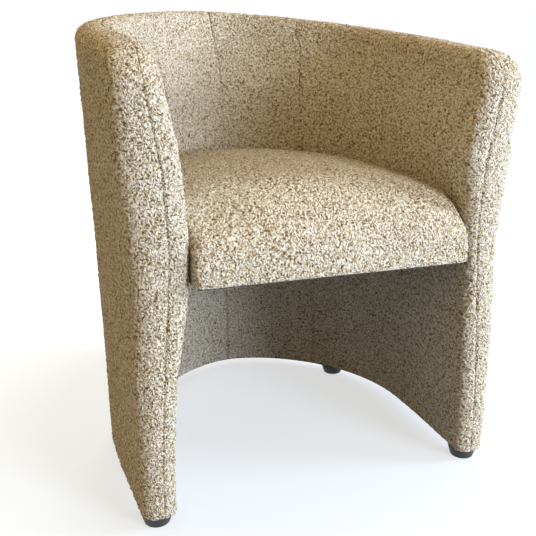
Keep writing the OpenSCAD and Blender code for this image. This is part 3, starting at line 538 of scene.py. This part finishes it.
def speckled_material(
        name, low, high, scale, rough, bump, metal=0.0, stretch=(1, 1, 1), sheen=0.0):
    """A surface with fine variation, by scale and stretch: grain, felt, plastic or drawn metal.

    rough is the middle of its roughness, and bump is in metres.
    """
    material, tree, shader, place = new_material(name)
    scaled = tree.nodes.new("ShaderNodeMapping")
    scaled.inputs["Scale"].default_value = stretch
    tree.links.new(place, scaled.inputs["Vector"])
    grain = noise_of(
        tree, scaled.outputs[0], Scale=scale, Detail=4.0, Roughness=0.6, Distortion=0.3)
    tree.links.new(ramp_of(tree, grain, (0.3, low), (0.7, high)), shader.inputs["Base Color"])
    roughness = math_of(tree, "MULTIPLY_ADD", grain, 0.2, rough - 0.1)
    tree.links.new(roughness, shader.inputs["Roughness"])
    add_bump(tree, shader, grain, 0.6, bump)
    shader.inputs["Metallic"].default_value = metal
    shader.inputs["Sheen Weight"].default_value = sheen
    return material


def cloth_material():
    """Black non-woven lining: pressed fibres with a grid of tiny spot bonds."""
    material, tree, shader, place = new_material("lining_cloth")
    fibres = noise_of(tree, place, Scale=1200.0, Detail=4.0)
    dots = texture_of(tree, "ShaderNodeTexVoronoi", place, Scale=480.0, Randomness=0.15)
    mixed = sum_of(tree, fibres, (dots.outputs["Distance"], 0.8))
    colour = ramp_of(tree, mixed, (0.35, (0.010, 0.010, 0.011)), (1.0, (0.050, 0.049, 0.048)))
    tree.links.new(colour, shader.inputs["Base Color"])
    add_bump(tree, shader, mixed, 0.5, 0.0004)
    shader.inputs["Roughness"].default_value = 0.85
    return material


BOUCLE = boucle_material()
LINING = cloth_material()
PLYWOOD_GRAIN, BEECH_GRAIN = (1, 1, 14), (6, 6, 0.6)
MATERIALS = {
    "plywood": speckled_material(
        "plywood", (0.50, 0.35, 0.19), (0.80, 0.66, 0.46), 40, 0.65, 0.00015,
        stretch=PLYWOOD_GRAIN),
    "beech": speckled_material(
        "beech", (0.56, 0.37, 0.22), (0.78, 0.60, 0.42), 60, 0.55, 0.00010, stretch=BEECH_GRAIN),
    "hardboard": speckled_material(
        "hardboard", (0.24, 0.15, 0.08), (0.42, 0.29, 0.18), 300, 0.75, 0.00012),
    "felt": speckled_material(
        "felt", (0.26, 0.26, 0.25), (0.55, 0.54, 0.51), 700, 0.95, 0.0005, sheen=0.3),
    "spring_steel": speckled_material(
        "spring_steel", (0.30, 0.30, 0.31), (0.58, 0.58, 0.60), 400, 0.38, 0.00002, metal=1.0),
    "zinc_steel": speckled_material(
        "zinc_steel", (0.52, 0.54, 0.56), (0.78, 0.79, 0.80), 220, 0.32, 0.00003, metal=1.0),
    "insert_brass": speckled_material(
        "insert_brass", (0.56, 0.40, 0.15), (0.82, 0.64, 0.32), 260, 0.34, 0.00003, metal=1.0),
    "glide_plastic": speckled_material(
        "glide_plastic", (0.010, 0.010, 0.011), (0.030, 0.030, 0.032), 900, 0.48, 0.00006),
}


def dress(piece, material, slot, *nodes):
    """Gives a piece its material and body, and lets it stand for CAD nodes; slot is not used."""
    piece.data.materials.clear()
    piece.data.materials.append(material)
    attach(piece, "root")
    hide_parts(*nodes)
    return piece


# ---------------------------------------------------------------- padded wall
def seam_share(w):
    return SEAM_LOW + (SEAM_HIGH - SEAM_LOW) * np.clip((w - SEAM_TURN) / SEAM_TURN_RUN, 0, 1)


def arm_place(q, w):
    """Column shares of an arm's panel, slanted so that it ends on the side seam."""
    return q + (seam_share(w) - CAD_SEAM) * smooth((q - ARM_SLANT) / (CAD_SEAM - ARM_SLANT))


def back_place(q, w):
    """The same for a back panel, which starts on the side seam."""
    return 3 - (3 - q) * (3 - seam_share(w)) / (3 - CAD_SEAM)


def strayed(points, q):
    """Moves a back panel's columns near the middle seam sideways along the wall."""
    high = smooth((points[..., 2] - STRAY_Z) / STRAY_RUN)
    stray = STRAY_LOW + (STRAY_HIGH - STRAY_LOW) * high
    points[..., 0] -= stray * smooth((q - CAD_SEAM) / (3 - CAD_SEAM))
    return points


def inner_panel(name, side, q0, q1, place_q):
    """One sewn panel of the wall's inside. place_q slants its columns."""
    q = columns_of(q0, q1, -1, FINE)[:, None]
    w, low = rows_of(-1, FINE)[None, :], HIDDEN_ROWS[None, :]
    skin = strayed(wall(place_q(q, w), w, -1, side), q)
    hidden = strayed(wall(place_q(q, low), low, -1, side, back=True), q)
    return sewn_piece(name, skin, hidden, -side)


def outer_shell():
    """The outside is one piece of cloth from arm front to arm front."""
    q = columns_of(0, 3, 1, COARSE)[:, None]
    w, low = rows_of(1, COARSE)[None, :], HIDDEN_ROWS[None, :]
    skin = np.concatenate([wall(q, w, 1), wall(q[-2::-1], w, 1, -1)])
    hidden = np.concatenate([wall(q, low, 1, 1, True), wall(q[-2::-1], low, 1, -1, True)])
    return sewn_piece("outer_upholstery", skin, hidden, 1)


for side, word in ((1, "right"), (-1, "left")):
    arm = inner_panel(f"arm_upholstery_{word}", side, 0, CAD_SEAM - PANEL_GAP, arm_place)
    dress(arm, BOUCLE, "boucle", f"arm_cover_{word}", f"arm_pad_{word}")
    panel = inner_panel(
        f"back_upholstery_{word}", side, CAD_SEAM + PANEL_GAP, 3 - PANEL_GAP, back_place)
    dress(panel, BOUCLE, "boucle", f"back_cover_{word}", *(["back_pad"] if side > 0 else []))
shell = dress(outer_shell(), BOUCLE, "boucle", "outer_cover", "outer_pad")


# ---------------------------------------------------------------- seat
def seat_e(q, side):
    """How far the seat's outline lies outside the inner face's plan, clear of the bulging wall."""
    p, n = plan(q)
    y = p[..., 1]
    heights = SEAT_Z + (SEAT_BACK_Z - SEAT_Z) * np.linspace(0, 1, 5)
    reach = [y * lean(z) * n[..., 1] - bulge(y, z) - swell(side, y, z) for z in heights]
    return np.min(reach, axis=0) - y * lean(SEAT_Z) * n[..., 1] - SEAT_GAP


def seat_half_outline(side):
    """From the middle of the front round one side to the middle of the back."""
    half_w = ARM_GAP / 2 + float(seat_e(np.array(0.0), side))
    a = np.linspace(np.pi / 2, 0, 12)
    corner = np.stack([
        half_w - SEAT_CORNER_R + SEAT_CORNER_R * np.cos(a),
        -SEAT_PROUD + SEAT_CORNER_R - SEAT_CORNER_R * np.sin(a)], -1)
    q = np.linspace(0.5, 3, 120)
    p, n = plan(q)
    e = seat_e(q, side)
    flank = np.stack([p[:, 0] + n[:, 0] * e, p[:, 1] * lean(SEAT_Z) + n[:, 1] * e], -1)
    flank[-1, 0] = 0
    front = np.stack([np.linspace(0, corner[0, 0], 30)[:-1], np.full(29, -SEAT_PROUD)], -1)
    return np.concatenate([front, corner, flank]) * [side, 1]


def even_points(points, steps):
    """Evenly spaced points, with some more at the front corner."""
    run = np.concatenate([[0], np.cumsum(np.linalg.norm(np.diff(points, axis=0), axis=1))])
    corner = run[list(CORNER_POINTS)]
    at = np.linspace(0, run[-1], steps + 1)
    at = at[(at < corner[0] - CORNER_ROOM) | (at > corner[-1] + CORNER_ROOM)]
    at = np.sort(np.concatenate([at, corner]))
    return np.stack([np.interp(at, run, points[:, i]) for i in (0, 1)], -1)


def seat_outline(steps):
    right, left = (even_points(seat_half_outline(side), steps) for side in (1, -1))
    return np.concatenate([right, left[-2:0:-1]])


def felt_border():
    """The felt's outline, which is also the seat frame's, in order round its middle."""
    low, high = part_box("spring_felt")
    points = np.array([v.co for v in frame["nodes"]["spring_felt"].data.vertices])
    border = points[points[:, 2] < low[2] + 1e-5][:, :2]
    middle = (border.min(0) + border.max(0)) / 2
    return border[np.argsort(np.arctan2(*(border - middle).T[::-1]))], low[2], high[2]


def cavity_outline(outline, middle):
    """The cavity for the frame, with a point for each of the outline's, in the same direction."""
    border = felt_border()[0] + [0, CENTRE_Y] - middle
    along = np.linspace(0, 1, CAVITY_STEPS, endpoint=False)[:, None, None]
    border = (border + (np.roll(border, -1, axis=0) - border) * along).reshape(-1, 2)
    angle = np.arctan2(border[:, 1], border[:, 0])
    order = np.argsort(angle)
    far = np.linalg.norm(border, axis=1) + CAVITY_ROOM
    seen = np.arctan2(*(outline - middle).T[::-1])
    r = np.interp(seen, angle[order], far[order], period=2 * np.pi)
    return middle + r[:, None] * np.stack([np.cos(seen), np.sin(seen)], -1)


def seat_body():
    """The seat as rings from the middle of its underside round its edge to the middle of its top.

    Gives the piece and the number of points in a ring.
    """
    outline = seat_outline(SEAT_STEPS)
    depth = outline[:, 1].max() + SEAT_PROUD
    middle = np.array([0, -SEAT_PROUD + SEAT_MIDDLE * depth])
    halves = seat_half_outline(1), seat_half_outline(-1)
    wide = [half[half[:, 1] > -SEAT_PROUD + 1e-6] for half in halves]

    def top(p, k):
        """Height of the seat's top at the points p, a share k of the way to its middle."""
        dy = np.maximum(p[:, 1] + SEAT_PROUD, 0)
        side = SEAT_FRONT_Z + (SEAT_BACK_Z - SEAT_FRONT_Z) * (dy / depth) ** SEAT_RISE_POWER
        reach = [np.interp(p[:, 1], half[:, 1], np.abs(half[:, 0])) for half in wide]
        reach = np.where(p[:, 0] > 0, reach[0], reach[1])
        across = np.minimum(np.abs(p[:, 0]) / np.maximum(reach, SEAT_ROUND), 1)
        behind = np.maximum((p[:, 1] - middle[1]) / (depth - SEAT_PROUD - middle[1]), 0)
        crown = SEAT_CROWN * (1 - across**2) * (1 - behind**2)
        roll = np.sqrt(1 - (1 - np.minimum(dy / SEAT_ROLL_D, 1)) ** 2)
        away = k / max(1 - k, 1e-6) * np.linalg.norm(p - middle, axis=1)
        edge = edge_share(away, SEAT_ROUND)
        full = SEAT_ROLL_Z + (side + crown - SEAT_ROLL_Z) * roll
        return full - ROUND_DROP * SEAT_ROUND * (1 - edge)

    hollow = cavity_outline(outline, middle)
    inside = middle + (hollow - middle) * 0.5
    ceiling = felt_border()[2] + CAVITY_ROOM
    rings = []
    for p, z in ((inside, ceiling), (hollow, ceiling), (hollow, SEAT_Z), (outline, SEAT_Z)):
        rings.append(np.column_stack([p, np.full(len(outline), z)]))
    near_front = np.clip(1 - (outline[:, 1] + SEAT_PROUD) / SEAT_CORNER_R, 0, 1)
    draw = FRONT_DRAW * SEAT_ROUND * near_front
    for k in SIDE_SHARES:
        shift = np.stack([np.zeros_like(draw), draw * (1 - 4 * k * (1 - k)) - draw], -1)
        rings.append(np.column_stack([outline + shift, SEAT_Z + (top(outline, 0) - SEAT_Z) * k]))
    for k in TOP_SHARES:
        p = outline + (middle - outline) * k
        rings.append(np.column_stack([p, top(p, k)]))
    n, m = len(outline), len(rings)
    ends = np.array([[*middle, top(middle[None], 0.999)[0]], [*middle, ceiling]])
    points = np.concatenate(rings + [ends])
    points[:, 1] -= CENTRE_Y
    faces = ring_quads(m, n)
    for a in range(n):
        b = (a + 1) % n
        faces += [[(m - 1) * n + a, (m - 1) * n + b, n * m], [b, a, n * m + 1]]
    return mesh_piece("seat_upholstery", points, faces), n


def puffed(piece, held):
    """Lets the cover swell under the foam's pressure, no further than PUFF_LIMIT."""
    group = piece.vertex_groups.new(name="held")
    for index, weight in enumerate(held):
        group.add([index], float(weight), "REPLACE")
    before = coordinates(piece.data)
    cloth = piece.modifiers.new("cloth", "CLOTH")
    cloth.settings.vertex_group_mass = "held"
    cloth.settings.use_pressure = True
    cloth.settings.uniform_pressure_force = PUFF_PRESSURE
    cloth.settings.effector_weights.gravity = 0
    cloth.point_cache.frame_end = PUFF_FRAMES
    for step in range(1, PUFF_FRAMES + 1):
        bpy.context.scene.frame_set(step)
    applied(piece)
    bpy.context.scene.frame_set(1)
    move = coordinates(piece.data) - before
    far = np.linalg.norm(move, axis=1, keepdims=True)
    after = before + move * np.minimum(1, PUFF_LIMIT / np.maximum(far, 1e-9))
    piece.data.vertices.foreach_set("co", after.reshape(-1))
    piece.vertex_groups.clear()


def smoothed(piece, ring):
    """Subdivides the seat with creases round its cavity and lower edge, and gives it even faces."""
    crease = piece.data.attributes.new("crease_edge", "FLOAT", "EDGE")
    ends = np.empty(len(piece.data.edges) * 2, np.int64)
    piece.data.edges.foreach_get("vertices", ends)
    ends = ring[ends.reshape(-1, 2)]
    same = ends[:, 0] == ends[:, 1]
    hard = np.where(ends[:, 0] == OUTLINE_RING, OUTLINE_CREASE,
                    np.where(ends[:, 0] < OUTLINE_RING, CAVITY_CREASE, 0.0))
    crease.data.foreach_set("value", (hard * same).astype(np.float32))
    finer = piece.modifiers.new("finer", "SUBSURF")
    finer.levels = finer.render_levels = 2
    remesh = piece.modifiers.new("remesh", "REMESH")
    remesh.mode, remesh.voxel_size = "VOXEL", SEAT_VOXEL
    soften = piece.modifiers.new("soften", "SMOOTH")
    soften.factor, soften.iterations = 0.5, 1
    applied(piece)


def seat_piece():
    seat, n = seat_body()
    last = LOW_RINGS + len(TOP_SHARES)
    ring = np.minimum(np.arange(len(seat.data.vertices)) // n, last)
    ring[-2:] = last, 0
    let_go = np.clip(1 - (ring - LOW_RINGS) / HELD_RINGS, HELD_LEAST, 1)
    puffed(seat, np.where(ring <= LOW_RINGS, 1, let_go))
    smoothed(seat, ring)
    mesh = seat.data
    co, no = coordinates(mesh), np.empty(len(mesh.vertices) * 3)
    mesh.vertex_normals.foreach_get("vector", no)
    no = no.reshape(-1, 3)
    yarn = nubs(co, NUB_CELL, NUB_SEED)
    above = smooth((co[:, 2] - SEAT_Z - YARN_START) / YARN_RUN)
    flank = smooth((np.abs(no[:, 0]) - FLANK) / FLANK_RUN)
    move = NUB_H * (yarn - NUB_LEVEL) * above * (1 - FLANK_CALM * flank)
    move += LUMP_H * lumps(co, SEAT_LUMP_CELL, SEAT_LUMP_SEED) * above * (1 - flank)
    mesh.vertices.foreach_set("co", (co + no * move[:, None]).reshape(-1))
    keep_yarn(mesh, yarn)
    mesh.polygons.foreach_set("use_smooth", np.ones(len(mesh.polygons), bool))
    mesh.update()
    return seat


seat = dress(seat_piece(), BOUCLE, "boucle", "seat_cover", "seat_foam")


# ---------------------------------------------------------------- linings and felt
def flat_sheet(name, outline, z, sag, thick):
    """A sheet: rings of points from its border to its middle, with a slight sag."""
    n = len(outline)
    centre = outline.mean(0)
    rings = []
    for k in SHEET_LEVELS:
        p = outline + (centre - outline) * k
        drop = sag * np.sin(np.pi / 2 * k / SHEET_LEVELS[-1])
        wave = SHEET_WAVE * lumps(np.column_stack([p, np.zeros(n)]), SHEET_WAVE_CELL, SHEET_SEED)
        rings.append(np.column_stack([p, np.full(n, z - drop) + wave * (k > 0)]))
    low = np.concatenate(rings + [np.array([[*centre, z - sag]])])
    m, half = len(SHEET_LEVELS), len(low)
    last = (m - 1) * n
    one = ring_quads(m, n) + [[last + j, last + (j + 1) % n, m * n] for j in range(n)]
    faces = [face[::-1] for face in one]
    faces += [[point + half for point in face] for face in one]
    faces += [[j, (j + 1) % n, (j + 1) % n + half, j + half] for j in range(n)]
    return mesh_piece(name, np.concatenate([low, low + [0, 0, thick]]), faces)


def lining_outline():
    outline = seat_outline(LINING_STEPS)
    centre = outline.mean(0)
    return centre + (outline - centre) * LINING_SHARE - [0, CENTRE_Y]


def wall_lining():
    """A band under the wall, between the covers' lower edges, and its width and length."""
    q = np.concatenate([
        np.linspace(BAND_FRONT, 1, 14), np.linspace(1, 2, 14)[1:], np.linspace(2, 3, 40)[1:]])
    inner, outer = wall(q, 0.0, -1), wall(q, 0.0, 1)
    share = np.linspace(BAND_START, BAND_END, BAND_ROWS)[:, None, None]
    band = inner[None] + (outer - inner)[None] * share
    band = np.concatenate([band, band[:, -2::-1] * [-1, 1, 1]], axis=1)
    rows, n = band.shape[:2]
    low = band.reshape(-1, 3).copy()
    low[:, 2] = FOOT_H + BAND_LIFT + BAND_WAVE * lumps(low, SHEET_WAVE_CELL, BAND_SEED)
    half = len(low)
    faces = []
    for i in range(rows - 1):
        for j in range(n - 1):
            face = [i * n + j, i * n + j + 1, (i + 1) * n + j + 1, (i + 1) * n + j]
            faces += [face, [point + half for point in face[::-1]]]
    border = list(range(n)) + [i * n + n - 1 for i in range(1, rows)]
    border += [(rows - 1) * n + j for j in range(n - 2, -1, -1)]
    border += [i * n for i in range(rows - 2, 0, -1)]
    for a, b in zip(border, border[1:] + border[:1]):
        faces.append([b, a, a + half, b + half])
    long = float(np.linalg.norm(np.diff(band[rows // 2], axis=0), axis=1).sum())
    wide = float(np.linalg.norm(band[-1] - band[0], axis=1).mean())
    points = np.concatenate([low, low + [0, 0, BAND_T]])
    return mesh_piece("wall_underlining", points, faces), (wide, long)


seat_cut = lining_outline()
under_seat = flat_sheet("seat_underlining", seat_cut, SEAT_Z - LINING_DROP, LINING_SAG, LINING_T)
dress(under_seat, LINING, "lining_cloth", "dust_cover")

under_wall, strip = wall_lining()
dress(under_wall, LINING, "lining_cloth", "base_cloth")

felt_cut, felt_z, _ = felt_border()
felt = flat_sheet("spring_pad", felt_cut, felt_z, FELT_SAG, FELT_T)
dress(felt, MATERIALS["felt"], "felt", "spring_felt")


# ---------------------------------------------------------------- frame pieces that stay
slots = {row["node"]: row["material_slot"] for row in frame["record"]["subparts"]}
for name, node in frame["nodes"].items():
    if slots[name] in MATERIALS:
        for place in node.material_slots:
            place.material = MATERIALS[slots[name]]


# ---------------------------------------------------------------- floor, light and camera
def seen_by_camera(tree):
    """1 for camera, glossy and transmission rays, 0 for light that falls on the object."""
    path = tree.nodes.new("ShaderNodeLightPath")
    both = math_of(tree, "MAXIMUM", path.outputs["Is Camera Ray"], path.outputs["Is Glossy Ray"])
    return math_of(tree, "MAXIMUM", both, path.outputs["Is Transmission Ray"])


def floor_material():
    """Pale, with a glow for the camera alone that turns it white away from the chair."""
    material = bpy.data.materials.new("floor")
    material.use_nodes = True
    tree = material.node_tree
    tree.nodes.clear()
    diffuse = node_of(tree, "ShaderNodeBsdfDiffuse", Color=FLOOR_COLOUR)
    glow = node_of(tree, "ShaderNodeEmission", Color=WHITE)
    away = node_of(tree, "ShaderNodeVectorMath", operation="LENGTH")
    tree.links.new(tree.nodes.new("ShaderNodeTexCoord").outputs["Object"], away.inputs[0])
    spread = tree.nodes.new("ShaderNodeMapRange")
    for socket, value in zip(spread.inputs[1:5], (FLOOR_NEAR, FLOOR_FAR, FLOOR_GLOW, 1.0)):
        socket.default_value = value
    tree.links.new(away.outputs["Value"], spread.inputs[0])
    strength = math_of(tree, "MULTIPLY", seen_by_camera(tree), spread.outputs[0])
    tree.links.new(strength, glow.inputs["Strength"])
    both = tree.nodes.new("ShaderNodeAddShader")
    output = tree.nodes.new("ShaderNodeOutputMaterial")
    tree.links.new(diffuse.outputs[0], both.inputs[0])
    tree.links.new(glow.outputs[0], both.inputs[1])
    tree.links.new(both.outputs[0], output.inputs[0])
    return material


def floor_piece():
    steps, n = np.linspace(-FLOOR_HALF, FLOOR_HALF, FLOOR_POINTS), FLOOR_POINTS
    points = [(x, y, 0) for y in steps for x in steps]
    faces = [[r * n + c, r * n + c + 1, (r + 1) * n + c + 1, (r + 1) * n + c]
             for r in range(n - 1) for c in range(n - 1)]
    mesh = bpy.data.meshes.new("floor")
    mesh.from_pydata(points, [], faces)
    mesh.materials.append(floor_material())
    floor = bpy.data.objects.new("floor", mesh)
    bpy.context.scene.collection.objects.link(floor)


def studio_world():
    """A warm ambient light on the object, and white for the camera."""
    world = bpy.data.worlds.new("studio")
    world.use_nodes = True
    tree = world.node_tree
    tree.nodes.clear()
    light_side = node_of(tree, "ShaderNodeBackground", Color=AMBIENT)
    view_side = node_of(tree, "ShaderNodeBackground", Color=WHITE)
    mixed = tree.nodes.new("ShaderNodeMixShader")
    output = tree.nodes.new("ShaderNodeOutputWorld")
    tree.links.new(seen_by_camera(tree), mixed.inputs[0])
    tree.links.new(light_side.outputs[0], mixed.inputs[1])
    tree.links.new(view_side.outputs[0], mixed.inputs[2])
    tree.links.new(mixed.outputs[0], output.inputs[0])
    return world


def lamp(name, place, target, size, watts, colour):
    data = bpy.data.lights.new(name, "AREA")
    data.shape, data.size = "SQUARE", size
    data.energy, data.color = watts, colour
    light = bpy.data.objects.new(name, data)
    light.location = place
    light.rotation_euler = (Vector(target) - Vector(place)).to_track_quat("-Z", "Y").to_euler()
    bpy.context.scene.collection.objects.link(light)


floor_piece()
scene = bpy.context.scene
scene.view_settings.view_transform = "Standard"
scene.world = studio_world()
for row in LAMPS:
    lamp(*row)

camera_data = bpy.data.cameras.new("camera")
camera_data.sensor_width, camera_data.lens = SENSOR, LENS
camera = bpy.data.objects.new("camera", camera_data)
camera.location = CAMERA_PLACE
camera.rotation_euler = (math.radians(90 - CAMERA_DOWN), 0, math.radians(CAMERA_TURN))
scene.collection.objects.link(camera)
scene.camera = camera
